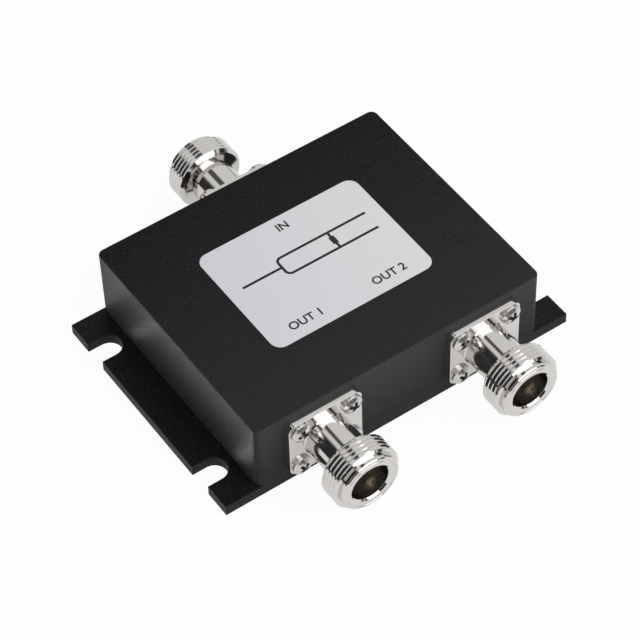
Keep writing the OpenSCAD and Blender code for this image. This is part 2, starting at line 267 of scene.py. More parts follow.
class StageSettings(bpy.types.PropertyGroup):
    """Camera, light and floor."""

    aim: place("Aim", "Point the camera looks at", (0.92 * MM, 0.94 * MM, 1.09 * MM))
    distance: length("Distance", "Distance of the camera from its aim", 582.84)
    azimuth: angle("Azimuth", "Turn of the camera round the object", -33.41)
    elevation: angle("Elevation", "Height of the camera as an angle", 49.76)
    roll: angle("Roll", "Turn of the picture", -1.97)
    lens: number("Lens", "Focal length on a 36 mm sensor", 151.86)
    floor_radius: length("Floor radius", "Radius of the round floor", 260)
    floor_centre: place("Floor centre", "Middle of the round floor", (6 * MM, 9 * MM))
    floor_colour: colour("Floor", "Colour of the floor", (0.95, 0.95, 0.95))
    floor_glow: share("Floor glow", "Share of plain white in the floor as it is seen", 0.95)
    floor_mirrored: share("Floor mirrored", "How much of that white the metal shows", 0.7)
    key_power: number("Key", "Power of the softbox", 1.3, unit="POWER")
    key_place: place("Key place", "Where the softbox hangs", (80 * MM, -370 * MM, 340 * MM))
    key_width: length("Key width", "Width of the softbox", 520)
    key_height: length("Key height", "Height of the softbox", 330)
    tent_level: number("Tent", "Brightness of the light tent", 0.82)
    dark_level: number("Dark", "Brightness of its gaps", 0.03)
    seam_share: share("Seam", "How dark the tent's seam is", 0.92)


class SplitterSettings(bpy.types.PropertyGroup):
    """All settings of the splitter."""

    box: PointerProperty(type=BoxSettings)
    jack: PointerProperty(type=JackSettings)
    screw: PointerProperty(type=ScrewSettings)
    label: PointerProperty(type=LabelSettings)
    finish: PointerProperty(type=FinishSettings)
    stage: PointerProperty(type=StageSettings)


def settings():
    """The settings kept in the scene."""
    return bpy.context.scene.splitter


# Node trees


def arithmetic(operation):
    """The plain and the reflected method of one operator."""

    def plain(self, other):
        return self.graph.math(operation, self, other)

    def reflected(self, other):
        return self.graph.math(operation, other, self)

    return plain, reflected


class Port:
    """An output socket that takes part in arithmetic."""

    __add__, __radd__ = arithmetic("ADD")
    __sub__, __rsub__ = arithmetic("SUBTRACT")
    __mul__, __rmul__ = arithmetic("MULTIPLY")
    __truediv__, __rtruediv__ = arithmetic("DIVIDE")

    def __init__(self, graph, socket):
        self.graph = graph
        self.socket = socket

    def math(self, operation, *others):
        """A Math node on this value and others."""
        return self.graph.math(operation, self, *others)

    def clamped(self):
        """This value kept between 0 and 1."""
        return self.math("MAXIMUM", 0.0).math("MINIMUM", 1.0)

    def rising(self, start, span):
        """0 up to a start, 1 from a span further on and a straight slope between."""
        return ((self - start) / span).clamped()


class Graph:
    """Adds nodes to one tree."""

    def __init__(self, tree):
        self.tree = tree

    def add(self, kind, inputs=None, out=0, **settings):
        """Make a node: its settings first, then the values or links of its sockets. Its outputs come back."""
        node = self.tree.nodes.new(kind)
        for key, value in settings.items():
            setattr(node, key, value)
        for key, value in (inputs or {}).items():
            if isinstance(value, Port):
                self.tree.links.new(value.socket, node.inputs[key])
            else:
                node.inputs[key].default_value = value
        if isinstance(out, tuple):
            return [Port(self, node.outputs[key]) for key in out]
        return Port(self, node.outputs[out]) if len(node.outputs) else None

    def math(self, operation, *values):
        """A Math node."""
        return self.add("ShaderNodeMath", dict(enumerate(values)), operation=operation)

    def mix(self, factor, low, high):
        """Blend two colours."""
        tones = [value if isinstance(value, Port) else (*value, 1.0) for value in (low, high)]
        return self.add("ShaderNodeMix", {0: factor, 6: tones[0], 7: tones[1]}, out=2, data_type="RGBA")

    def shade(self, factor, tone, part):
        """Blend a colour with a part of itself."""
        return self.mix(factor, tone, [value * part for value in tone])

    def attribute(self, name):
        """A number that the mesh carries."""
        return self.add("ShaderNodeAttribute", out="Fac", attribute_name=name)

    def split(self, vector):
        """The three numbers of a vector."""
        return self.add("ShaderNodeSeparateXYZ", {"Vector": vector}, out=("X", "Y", "Z"))

    def noise(self, vector, scale, detail=2.0, roughness=0.5):
        """Grain of a size given as cells in a metre."""
        return self.add("ShaderNodeTexNoise",
                        {"Vector": vector, "Scale": scale, "Detail": detail, "Roughness": roughness})

    def stretched(self, vector, scale):
        """Coordinates scaled along each axis."""
        return self.add("ShaderNodeMapping", {"Vector": vector, "Scale": scale})

    def bump(self, height, distance, strength=1.0):
        """A normal from a height."""
        return self.add("ShaderNodeBump", {"Height": height, "Distance": distance, "Strength": strength})


def empty_graph(owner):
    """The emptied node tree of a material or world."""
    owner.use_nodes = True
    owner.node_tree.nodes.clear()
    return Graph(owner.node_tree)


def new_finish(name, paint):
    """A material whose sockets come from a paint function of the graph and the object's coordinates."""
    material = bpy.data.materials.new(name)
    graph = empty_graph(material)
    spot = graph.add("ShaderNodeTexCoord", out="Object")
    shader = graph.add("ShaderNodeBsdfPrincipled", paint(graph, spot))
    graph.add("ShaderNodeOutputMaterial", {"Surface": shader})
    return material


def coat_paint(graph, spot):
    """Fine-grained black coat with painted light: greyer to the front, lighter on the walls, darker downwards
    on the front wall; a gloss on the sides.
    """
    look, size = settings().finish, settings().box
    grain = graph.noise(spot, COAT_GRAIN, detail=3.0, roughness=0.6)
    peel = graph.noise(spot, COAT_PEEL)
    speck = ((graph.noise(spot, COAT_SPECKS, detail=1.0) - 0.62) * 9).clamped()
    x, y, z = graph.split(spot)
    above = z.rising(size.wing_thickness, WING_FADE)
    up = z.rising(size.wing_thickness, BOX_HIGH.z - size.wing_thickness)
    wall = above * x.math("ABSOLUTE").rising(size.body_width / 2 - WALL_SKIN, WALL_FADE)
    facing = above * ((BOX_LOW.y + WALL_SKIN - y) / WALL_FADE).clamped()
    # Painted reflection: the coat goes greyer towards the front of the top, a little on the wings, mixed with
    # its grain
    front_reflection_share = above * (0.5 - y / (BOX_HIGH.y - BOX_LOW.y)).clamped()
    grain_and_reflection = (front_reflection_share + wall + (1 - above) * 0.2 + (grain - 0.5) * 1.4).clamped()
    # Painted light on the side walls: they take the lighter side coat
    tone = graph.mix(wall, graph.mix(grain_and_reflection, look.coat, look.coat_painted_reflection), look.coat_painted_side_light)
    # Painted shade on the front wall: the black coat at its foot, the lighter side coat at its top
    tone = graph.mix(facing, tone, graph.mix(up, look.coat, look.coat_painted_side_light))
    gloss = ((grain - 0.3) * 4.5).clamped() * (1 - (y / BOX_HIGH.y).clamped() * 0.96)
    return {
        "Base Color": graph.mix(speck * 0.8, tone, look.coat_worn),
        "Roughness": look.coat_roughness - 0.08 + grain * 0.16,
        "Specular IOR Level": 0.15,
        "Normal": graph.bump(grain + peel * 0.5, 0.1 * MM),
        "Coat Weight": wall * gloss,
        "Coat Roughness": 0.36,
    }


def nickel_paint(graph, spot):
    """Bright plating with faint turning marks round each jack, darkened in the bore as painted shade."""
    look = settings().finish
    inside, turning = graph.attribute("inside"), graph.attribute("turning")
    rings = graph.add("ShaderNodeTexNoise", {"W": turning, "Scale": TURNING_RINGS, "Detail": 2.0},
                      noise_dimensions="1D")
    haze = graph.noise(spot, PLATE_HAZE, detail=3.0)
    return {
        # Painted shade: the bore's faces take the darker bore colour
        "Base Color": graph.mix(inside, graph.shade(haze, look.nickel, 0.93), look.bore),
        "Metallic": 1.0,
        "Roughness": look.nickel_roughness - 0.03 + haze * 0.05 + rings * 0.03 + inside * 0.12,
        "Normal": graph.bump(rings, 0.004 * MM, 0.5),
    }


def screw_paint(graph, spot):
    """Bright plating of small pressed screws, darkened in the recess as painted shade."""
    look = settings().finish
    haze = graph.noise(spot, PRESSED_HAZE, detail=3.0)
    return {
        # Painted shade: the recess faces take the darker recess colour
        "Base Color": graph.mix(graph.attribute("recess"), graph.shade(haze, look.nickel, 0.88), look.recess),
        "Metallic": 1.0,
        "Roughness": 0.2 + haze * 0.1,
        "Normal": graph.bump(haze, 0.02 * MM, 0.4),
    }


def label_paint(graph, spot):
    """Satin silver film, a little cooler on its left."""
    look = settings().finish
    across = graph.split(spot)[0]
    lean = (0.5 - across / (LABEL_HIGH.x - LABEL_LOW.x)).clamped()
    fibre = graph.noise(graph.stretched(spot, FILM_FIBRE), 1.0, detail=3.0)
    flake = graph.noise(spot, FILM_FLAKE)
    tone = graph.mix(lean, look.label, look.label_cool)
    return {
        "Base Color": graph.mix(fibre * 0.35 + flake * 0.25, tone, [value * 0.86 for value in look.label]),
        "Metallic": 0.25,
        "Roughness": 0.4 + flake * 0.1,
        "Normal": graph.bump(flake, 0.006 * MM, 0.3),
    }


def ink_paint(graph, spot):
    """Black print."""
    spread = graph.noise(spot, INK_SPREAD)
    return {
        "Base Color": graph.shade(spread, settings().finish.ink, 2.2),
        "Roughness": 0.5 + spread * 0.15,
        "Specular IOR Level": 0.3,
    }


def grained_paint(tone, roughness, scale, metallic=1.0, stretch=(1.0, 1.0, 1.0)):
    """A plain metal with fine grain, or a dull stuff with softer grain where it isn't metallic."""
    part, swing, depth, strength = (0.8, 0.1, 0.008 * MM, 0.4) if metallic else (0.84, 0.12, 0.01 * MM, 0.3)

    def paint(graph, spot):
        grain = graph.noise(graph.stretched(spot, stretch), scale, detail=3.0)
        return {
            "Base Color": graph.shade(grain, tone, part),
            "Metallic": metallic,
            "Roughness": roughness - swing / 2 + grain * swing,
            "Normal": graph.bump(grain, depth, strength),
        }

    return paint


def laminate_paint(graph, spot):
    """Resin board with its glass weave showing faintly."""
    warp, weft = [
        graph.add("ShaderNodeTexWave",
                  {"Vector": spot, "Scale": CLOTH_WEAVE, "Distortion": 0.6, "Detail": 1.0},
                  out="Fac", wave_type="BANDS", bands_direction=axis)
        for axis in ("X", "Y")
    ]
    cloth = (warp + weft) * 0.5
    return {
        "Base Color": graph.shade(cloth, settings().finish.laminate, 0.8),
        "Roughness": 0.45 + cloth * 0.12,
        "Normal": graph.bump(cloth, 0.01 * MM, 0.3),
    }


# Meshes


def new_object(name, data):
    """An object in the scene."""
    piece = bpy.data.objects.new(name, data)
    bpy.context.scene.collection.objects.link(piece)
    return piece


def baked_mesh(source):
    """The object with its modifiers as a plain mesh; the object goes."""
    bpy.context.view_layer.update()
    depsgraph = bpy.context.evaluated_depsgraph_get()
    mesh = bpy.data.meshes.new_from_object(source.evaluated_get(depsgraph), preserve_all_data_layers=True,
                                           depsgraph=depsgraph)
    bpy.data.objects.remove(source)
    return mesh


def opened(mesh):
    """A mesh opened for work."""
    work = bmesh.new()
    work.from_mesh(mesh)
    return work


def written(work, mesh=None):
    """The work written to a mesh, a new one unless one is given."""
    if mesh is None:
        mesh = bpy.data.meshes.new("form")
    work.to_mesh(mesh)
    work.free()
    return mesh


def welded(mesh):
    """Merge the doubles of a mesh and turn its faces outwards."""
    work = opened(mesh)
    bmesh.ops.remove_doubles(work, verts=work.verts, dist=WELD)
    bmesh.ops.recalc_face_normals(work, faces=work.faces)
    return written(work, mesh)


def node_solid(node):
    """A copy of a CAD node's mesh with its doubles merged."""
    return welded(frame["nodes"][node].data.copy())


def smoothed(mesh, crease=FORM_CREASE):
    """Smooth shading that keeps sharp edges sharp and large faces flat."""
    work = opened(mesh)
    bmesh.ops.dissolve_limit(work, angle_limit=FLAT_LIMIT, verts=work.verts, edges=work.edges)
    written(work, mesh)
    mesh.shade_smooth()
    mesh.set_sharp_from_angle(angle=math.radians(crease))
    carrier = new_object("smooth", mesh)
    carrier.modifiers.new("smooth", "WEIGHTED_NORMAL").keep_sharp = True
    return baked_mesh(carrier)


def add_piece(name, mesh, finish, slot, *nodes):
    """Put a finished mesh into the scene as a piece that stands for CAD nodes."""
    mesh.name = name
    mesh.materials.clear()
    mesh.materials.append(bpy.data.materials[finish])
    piece = new_object(name, mesh)
    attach(piece, BODY)
    if nodes:
        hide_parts(*nodes)


def arc(centre, radius, start, end, steps=ARC_STEPS):
    """Points on an arc, angles in quarter turns."""
    turns = [math.pi / 2 * (start + (end - start) * i / steps) for i in range(steps + 1)]
    return [(centre[0] + radius * math.cos(a), centre[1] + radius * math.sin(a)) for a in turns]


def circle(centre, radius, steps=AROUND):
    """Points round a circle."""
    return arc(centre, radius, 0, 4, steps)[:-1]


def rounded_outline(width, depth, radius, centre=(0.0, 0.0)):
    """Outline of a rectangle with round corners."""
    points = []
    for quarter, (sx, sy) in enumerate(((1, 1), (-1, 1), (-1, -1), (1, -1))):
        corner = (centre[0] + sx * (width / 2 - radius), centre[1] + sy * (depth / 2 - radius))
        points += arc(corner, radius, quarter, quarter + 1)
    return points


def flat_solid(outlines, low, high, edge=0.0):
    """A plate between two heights from flat outlines, with rounded edges."""
    curve = bpy.data.curves.new("plate", "CURVE")
    curve.dimensions = "2D"
    curve.fill_mode = "BOTH"
    curve.extrude = (high - low) / 2 - edge
    curve.bevel_depth = edge
    curve.bevel_resolution = 3
    curve.offset = -edge
    for outline in outlines:
        spline = curve.splines.new("POLY")
        spline.points.add(len(outline) - 1)
        for point, (x, y) in zip(spline.points, outline):
            point.co = (x, y, 0.0, 1.0)
        spline.use_cyclic_u = True
    mesh = baked_mesh(new_object("plate", curve))
    mesh.transform(Matrix.Translation((0.0, 0.0, (low + high) / 2)))
    return welded(mesh)


def combined(mesh, operation, *others):
    """Combine closed meshes by a boolean operation, one after the other, worked out in millimetres."""
    mesh.transform(Matrix.Scale(1 / MM, 4))
    for other in others:
        other.transform(Matrix.Scale(1 / MM, 4))
        base, tool = new_object("base", mesh), new_object("tool", other)
        modifier = base.modifiers.new("combine", "BOOLEAN")
        modifier.operation = operation
        modifier.solver = "EXACT"
        modifier.object = tool
        mesh = baked_mesh(base)
        bpy.data.objects.remove(tool)
    mesh.transform(Matrix.Scale(MM, 4))
    return mesh


def rounded_profile(points):
    """A profile of radius and height whose corners are rounded where a third number asks for it."""
    result = []
    for i, (radius, height, *fillet) in enumerate(points):
        here = Vector((radius, height))
        if not fillet or i in (0, len(points) - 1):
            result.append(here)
            continue
        before = (Vector(points[i - 1][:2]) - here).normalized()
        after = (Vector(points[i + 1][:2]) - here).normalized()
        half = before.angle(after) / 2
        reach = fillet[0] / math.tan(half)
        centre = here + (before + after).normalized() * (fillet[0] / math.sin(half))
        start = here + before * reach - centre
        sweep = start.angle_signed(here + after * reach - centre)
        for step in range(ARC_STEPS + 1):
            result.append(centre + Matrix.Rotation(-sweep * step / ARC_STEPS, 2) @ start)
    return result


def loop_at(work, outline, height):
    """A closed loop of vertices along an outline."""
    return [work.verts.new((x, y, height)) for x, y in outline]


def bridge(work, low, high):
    """Faces between two loops of the same length."""
    for i in range(len(low)):
        j = (i + 1) % len(low)
        work.faces.new((low[i], low[j], high[j], high[i]))


def loop_edges(work, loop):
    """The edges along a loop, made where they are missing."""
    pairs = [(loop[i], loop[(i + 1) % len(loop)]) for i in range(len(loop))]
    return [work.edges.get(pair) or work.edges.new(pair) for pair in pairs]


def lofted(work, loops):
    """Faces from each loop to the next; the first and last loops come back."""
    for low, high in zip(loops, loops[1:]):
        bridge(work, low, high)
    return loops[0], loops[-1]


def turned(work, profile):
    """Faces of a turned form along a profile of radius and height; its first and last rings come back."""
    return lofted(work, [loop_at(work, circle((0.0, 0.0), radius), height) for radius, height in profile])


# Jacks


def jack_places():
    """Where each jack stands: local +Z leaves the wall and local +Y points up."""
    places = {}
    for name in JACKS:
        mount = MOUNTS[f"{name}_thread"]
        out, up = Vector(mount["axis"]), Vector(UP)
        turn = Matrix((up.cross(out), up, out)).transposed().to_4x4()
        wall = BOX_HIGH.y if out.y > 0 else BOX_LOW.y
        places[name] = Matrix.Translation((mount["pos_m"][0], wall, mount["pos_m"][2])) @ turn
    return places


def new_tree(name, kinds):
    """A geometry tree with named inputs: its graph, the inputs as ports and their identifiers."""
    tree = bpy.data.node_groups.new(name, "GeometryNodeTree")
    for way in ("INPUT", "OUTPUT"):
        tree.interface.new_socket(name="Geometry", in_out=way, socket_type="NodeSocketGeometry")
    identifiers = {}
    for key, kind in kinds.items():
        identifiers[key] = tree.interface.new_socket(name=key, in_out="INPUT", socket_type=kind).identifier
    graph = Graph(tree)
    return graph, graph.add("NodeGroupInput", out=("Geometry", *kinds)), identifiers


def end_tree(graph, geometry, finish):
    """Make the geometry real, give it a finish and lead it to the output."""
    real = graph.add("GeometryNodeRealizeInstances", {"Geometry": geometry})
    finished = graph.add("GeometryNodeSetMaterial",
                         {"Geometry": real, "Material": bpy.data.materials[finish]})
    graph.add("NodeGroupOutput", {"Geometry": finished})


def run_tree(tree, identifiers, values, mesh):
    """The plain mesh that a geometry tree makes of a mesh and the values of its inputs."""
    carrier = new_object("carrier", mesh)
    modifier = carrier.modifiers.new("tree", "NODES")
    modifier.node_group = tree
    for key, value in values.items():
        modifier[identifiers[key]] = value
    return baked_mesh(carrier)


def thread_mesh():
    """The threaded barrel: a sheet whose rows climb with the thread, held between a bevel at either end."""
    size = settings().jack
    values = {
        "Crest Radius": size.barrel_radius,
        "Depth": size.thread_depth,
        "Pitch": size.thread_pitch,
        "Start": size.shoulder,
        "End": size.collar_start,
        "Start Radius": size.rear_foot,
        "End Radius": size.front_foot,
        "Crest Flat": size.crest_flat,
        "Root Flat": size.root_flat,
    }
    graph, ports, identifiers = new_tree("Jack thread", dict.fromkeys(values, "NodeSocketFloat"))
    _, crest, depth, pitch, start, end, start_radius, end_radius, crest_flat, root_flat = ports
    rise = end - start
    rows = math.ceil((size.collar_start - size.shoulder) / size.thread_pitch) + 1
    sheet = graph.add("GeometryNodeMeshGrid", {
        "Size X": 1.0, "Size Y": 1.0, "Vertices X": AROUND + 1, "Vertices Y": THREAD_ROWS * rows + 1})
    across, up, _ = graph.split(graph.add("GeometryNodeInputPosition"))
    turn = across + 0.5
    climb = (up + 0.5) * rows - 1
    along = ((climb + turn) * pitch).math("MAXIMUM", 0.0).math("MINIMUM", rise)
    peak = (climb.math("FRACT") - 0.5).math("ABSOLUTE") * 2
    flank = peak.rising(root_flat, 1 - root_flat - crest_flat)
    ridge = crest - depth * (1 - flank)
    bevels = (start_radius + along).math("MINIMUM", end_radius + (rise - along))
    radius = ridge.math("MINIMUM", bevels)
    sweep = turn * math.tau
    spot = graph.add("ShaderNodeCombineXYZ", {
        "X": radius * sweep.math("COSINE"), "Y": radius * sweep.math("SINE"), "Z": start + along})
    shaped = graph.add("GeometryNodeSetPosition", {"Geometry": sheet, "Position": spot})
    closed = graph.add("GeometryNodeMergeByDistance", {"Geometry": shaped, "Distance": WELD})
    end_tree(graph, closed, "Jack nickel")
    return run_tree(graph.tree, identifiers, values, bpy.data.meshes.new("thread"))


def hole_centres(size):
    """Centres of the flange holes."""
    return [(sx * size.hole_across / 2, sy * size.hole_up / 2) for sx in (-1, 1) for sy in (-1, 1)]


def add_flange(work, size, neck, seat):
    """A flange plate with rounded edges between the ring of the neck and the ring of the seat."""
    edge, top = size.flange_edge, size.flange_thickness
    rows = [(0.0, 0.0)]
    for step in range(ARC_STEPS + 1):
        a = math.pi / 2 * step / ARC_STEPS
        rows.append((edge * (1 - math.cos(a)), top - edge + edge * math.sin(a)))
    back, front = lofted(work, [
        loop_at(work, rounded_outline(size.flange_width - 2 * inset, size.flange_height - 2 * inset,
                                      size.flange_corner - inset), height)
        for inset, height in rows
    ])
    fronts, backs = [front, neck], [back, seat]
    for centre in hole_centres(size):
        outline = circle(centre, size.hole_radius, HOLE_STEPS)
        front, back = loop_at(work, outline, top), loop_at(work, outline, 0.0)
        bridge(work, front, back)
        fronts.append(front)
        backs.append(back)
    for loops, way in ((fronts, 1.0), (backs, -1.0)):
        edges = [edge for loop in loops for edge in loop_edges(work, loop)]
        bmesh.ops.triangle_fill(work, edges=edges, use_beauty=True, normal=(0.0, 0.0, way))


def shell_mesh(threads):
    """A jack shell in its own coordinates."""
    size = settings().jack
    work = opened(threads)
    neck, _ = turned(work, rounded_profile([
        (size.neck_radius + NECK_FILLET, size.flange_thickness),
        (size.neck_radius, size.flange_thickness + NECK_FILLET),
        (size.neck_radius, size.neck_end),
        (size.collar_radius, size.ring_start),
        (size.collar_radius, size.shoulder),
        (size.rear_foot, size.shoulder),
    ]))
    bevel = size.collar_bevel
    groove = size.collar_radius - GROOVE_INSET
    _, seat = turned(work, rounded_profile([
        (size.front_foot, size.collar_start),
        (size.collar_radius, size.collar_start),
        (size.collar_radius, size.front - bevel, COLLAR_ROUND),
        (size.collar_radius - bevel, size.front, FACE_ROUND),
        (groove + GROOVE_TOP, size.front),
        (groove + GROOVE_FLOOR, size.front - GROOVE_DEPTH),
        (groove - GROOVE_FLOOR, size.front - GROOVE_DEPTH),
        (groove - GROOVE_TOP, size.front),
        (size.mouth_radius + size.mouth_bevel, size.front, MOUTH_ROUND),
        (size.mouth_radius, size.front - size.mouth_bevel, BORE_ROUND),
        (size.mouth_radius, size.mouth_floor),
        (size.insulator_radius, size.mouth_floor),
        (size.insulator_radius, size.seat_depth),
        (size.seat_radius, size.seat_depth),
        (size.seat_radius, 0.0),
    ]))
    add_flange(work, size, neck, seat)
    bmesh.ops.remove_doubles(work, verts=work.verts, dist=WELD * 2)
    bmesh.ops.recalc_face_normals(work, faces=work.faces)
    mesh = written(work)
    mark_shell(mesh, size)
    return smoothed(mesh, SHELL_CREASE)


def mark_shell(mesh, size):
    """Write what the plating reads: the place along the turned form and the bore, which takes painted shade.
    """
    turning = mesh.attributes.new("turning", "FLOAT", "POINT").data
    inside = mesh.attributes.new("inside", "FLOAT", "FACE").data
    for vertex in mesh.vertices:
        radius = math.hypot(vertex.co.x, vertex.co.y)
        beside_neck = radius > size.neck_radius + NECK_FILLET + 10 * WELD
        on_flange = beside_neck and vertex.co.z < size.flange_thickness + WELD
        turning[vertex.index].value = 0.0 if on_flange else radius + vertex.co.z
    # The bore's faces, for the painted shade of the plating
    for face in mesh.polygons:
        radius, height = math.hypot(face.center.x, face.center.y), face.center.z
        bore_shade_faces = radius < size.mouth_radius + WELD and height < size.front - size.mouth_bevel
        inside[face.index].value = 1.0 if bore_shade_faces else 0.0


# Screws


def capped(work, loops):
    """A closed mesh of the work, with a face over each of its open loops."""
    for loop in loops:
        work.faces.new(loop)
    bmesh.ops.recalc_face_normals(work, faces=work.faces)
    return written(work)


def closed_turned(profile):
    """A closed turned form from a profile that starts and ends near the axis."""
    work = bmesh.new()
    return capped(work, turned(work, profile))


def tapered_bar(span, width, taper, low, high):
    """A bar that narrows downwards, for one arm of a cross recess."""
    work = bmesh.new()
    loops = []
    for height, long, wide in ((low, taper, (taper + 1) / 2), (high, 1.0, 1.0)):
        reach, side = span / 2 * long, width / 2 * wide
        loops.append(loop_at(work, [(-reach, -side), (reach, -side), (reach, side), (-reach, side)], height))
    bridge(work, *loops)
    return capped(work, loops)


def screw_mesh():
    """A pan-head screw with a cross recess, its head resting on zero."""
    size = settings().screw
    drop = size.head_height - size.dome_radius
    crown = size.head_radius - size.rim_round
    profile = []
    for step in range(ARC_STEPS + 1):
        radius = max(AXIS_RADIUS, crown * step / ARC_STEPS)
        profile.append((radius, drop + math.sqrt(size.dome_radius ** 2 - radius ** 2)))
    rim = drop + math.sqrt(size.dome_radius ** 2 - crown ** 2) - size.rim_round
    profile += arc((crown, rim), size.rim_round, HEAD_RIM_TURN, 0, ARC_STEPS // 2)
    profile += [
        (size.head_radius, HEAD_BEVEL),
        (size.head_radius - HEAD_BEVEL, 0.0),
        (size.shank_radius, 0.0),
        (size.shank_radius, -size.shank_length),
    ]
    floor, lift = size.head_height - size.cross_depth, size.head_height + CUT_LIFT
    bars = []
    for quarter in range(2):
        bar = tapered_bar(size.cross_span, size.cross_width, size.cross_taper, floor, lift)
        bar.transform(Matrix.Rotation(math.pi / 2 * quarter, 4, "Z"))
        bars.append(bar)
    mesh = smoothed(combined(closed_turned(profile), "DIFFERENCE", *bars), CUT_CREASE)
    # Mark the faces deep in the cross recess, which the screw finish darkens as painted shade
    recess = mesh.attributes.new("recess", "FLOAT", "FACE").data
    for face in mesh.polygons:
        sunk = size.dome_radius - (face.center - Vector((0.0, 0.0, drop))).length
        within = face.center.xy.length < size.cross_span / 2 and face.center.z > floor - WELD
        recess[face.index].value = 1.0 if within and sunk > HEAD_BEVEL else 0.0
    return mesh


def screw_tree():
    """A tree that sets a screw on each point, turned by chance, with the identifiers of its inputs."""
    kinds = {"Screw": "NodeSocketObject", "Height": "NodeSocketFloat", "Seed": "NodeSocketInt"}
    graph, (points, master, height, seed), identifiers = new_tree("Flange screws", kinds)
    lift = graph.add("ShaderNodeCombineXYZ", {"Z": height})
    spots = graph.add("GeometryNodeSetPosition", {"Geometry": points, "Offset": lift})
    screw = graph.add("GeometryNodeObjectInfo", {"Object": master}, out="Geometry")
    chance = graph.add("FunctionNodeRandomValue", {"Seed": seed}, out=1, data_type="FLOAT")
    spin = graph.add("ShaderNodeCombineXYZ", {"Z": chance * (math.pi / 2)})
    rotation = graph.add("FunctionNodeEulerToRotation", {"Euler": spin})
    placed = graph.add("GeometryNodeInstanceOnPoints",
                       {"Points": spots, "Instance": screw, "Rotation": rotation})
    end_tree(graph, placed, "Screw nickel")
    return graph.tree, identifiers


# Label print


def text_mesh(words, height, thickness, centre):
    """Flat letters of a size, centred on a point, as a plain mesh."""
    curve = bpy.data.curves.new("mark", "FONT")
    curve.body = words
    curve.size = height
    curve.align_x = curve.align_y = "CENTER"
    curve.extrude = thickness / 2
    curve.offset = LETTER_WEIGHT * height
    mesh = welded(baked_mesh(new_object("mark", curve)))
    mesh.transform(Matrix.Translation(centre))
    return mesh


def diagram_outlines(size, centre):
    """Outlines of a branch diagram: one line that parts into two arms with a block between them."""
    stroke, end, half = size.stroke, size.diagram_length / 2, size.diagram_height / 2
    left, right = -FORK_SHARE * end, FORK_SHARE * end
    bend, block, bulge = 1.5 * MM, 1.1 * MM, 0.35 * MM
    corner, inside = (left + bend, bend - half), right - stroke
    outer = [(-end, -stroke / 2), (left, -stroke / 2), *arc(corner, bend, 2, 3), (end, -half)]
    outer += [(end, stroke - half), (right, stroke - half), (right, -block), (right + bulge, -block)]
    inner = [*arc(corner, bend - stroke, 2, 3), (inside, stroke - half), (inside, -block)]
    inner += [(inside - bulge, -block)]
    wholes = [lower + [(x, -y) for x, y in reversed(lower)] for lower in (outer, inner)]
    return [[(centre[0] + x, centre[1] + y) for x, y in whole] for whole in wholes]


# Operators


class SPLITTER_OT_finishes(bpy.types.Operator):
    """Make the finishes and give them to the CAD pieces that stay as they are"""

    bl_idname = "splitter.finishes"
    bl_label = "Finishes"

    def execute(self, context):
        look = settings().finish
        insulators = [f"{jack}_insulator" for jack in JACKS]
        finishes = {
            "Black coat": (coat_paint, ["bottom_cover"]),
            "Jack nickel": (nickel_paint, []),
            "Screw nickel": (screw_paint, []),
            "Label film": (label_paint, []),
            "Label ink": (ink_paint, []),
            "Contact gold": (grained_paint(look.gold, 0.3, 2600), []),
            "Insulator": (grained_paint(look.insulator, 0.45, 1500, 0.0), insulators),
            "Zinc steel": (grained_paint(look.steel, 0.3, 1800), ["cover_screws", "board_screws"]),
            "Laminate": (laminate_paint, ["circuit_board"]),
            "Copper": (grained_paint(look.copper, 0.3, 900, stretch=(1.0, 8.0, 1.0)), ["track_pattern"]),
            "Chip film": (grained_paint(look.chip, 0.5, 3000, 0.0), ["isolation_resistors"]),
            "Solder": (grained_paint(look.solder, 0.28, 1400), ["solder_joints"]),
        }
        for name, (paint, nodes) in finishes.items():
            material = new_finish(name, paint)
            for slot in [slot for node in nodes for slot in frame["nodes"][node].material_slots]:
                slot.material = material
        return {"FINISHED"}


class SPLITTER_OT_housing(bpy.types.Operator):
    """Round the coated edges of the box and its wings"""

    bl_idname = "splitter.housing"
    bl_label = "Housing"

    def execute(self, context):
        size = settings().box
        skin, edge = size.skin, size.edge_round
        depth = BOX_HIGH.y - BOX_LOW.y
        reach = BOX_HIGH.x - BOX_LOW.x
        upper = rounded_outline(size.body_width + 2 * skin, depth + 2 * skin, size.corner_radius)
        body = flat_solid([upper], size.wing_thickness / 3, BOX_HIGH.z + skin, edge)
        lower = self.base_outline(size, reach + 3 * skin, depth + 3 * skin)
        base = flat_solid([lower], BOX_LOW.z - skin, size.wing_thickness + skin, edge)
        envelope = combined(body, "UNION", base)
        mesh = smoothed(combined(node_solid("housing"), "INTERSECT", envelope))
        add_piece("coated_housing", mesh, "Black coat", "black_coat", "housing")
        return {"FINISHED"}

    @staticmethod
    def base_outline(size, width, depth):
        """Outline of both wings and the floor between them, with the open slots."""
        half, radius = width / 2, size.slot_width / 2
        inner = half - size.slot_depth + radius
        points = [(half, -depth / 2)]
        for centre in (-size.slot_pitch / 2, size.slot_pitch / 2):
            points.append((half, centre - radius))
            points += arc((inner, centre), radius, 3, 1, 2 * ARC_STEPS)
            points.append((half, centre + radius))
        points.append((half, depth / 2))
        return points + [(-x, -y) for x, y in points]


class SPLITTER_OT_jacks(bpy.types.Operator):
    """Build the threaded shells of the three jacks"""

    bl_idname = "splitter.jacks"
    bl_label = "Jack shells"

    def execute(self, context):
        master = shell_mesh(thread_mesh())
        for name, spot in jack_places().items():
            mesh = master.copy()
            mesh.transform(spot)
            add_piece(f"{name}_threaded_shell", mesh, "Jack nickel", "jack_nickel", f"{name}_shell")
        return {"FINISHED"}


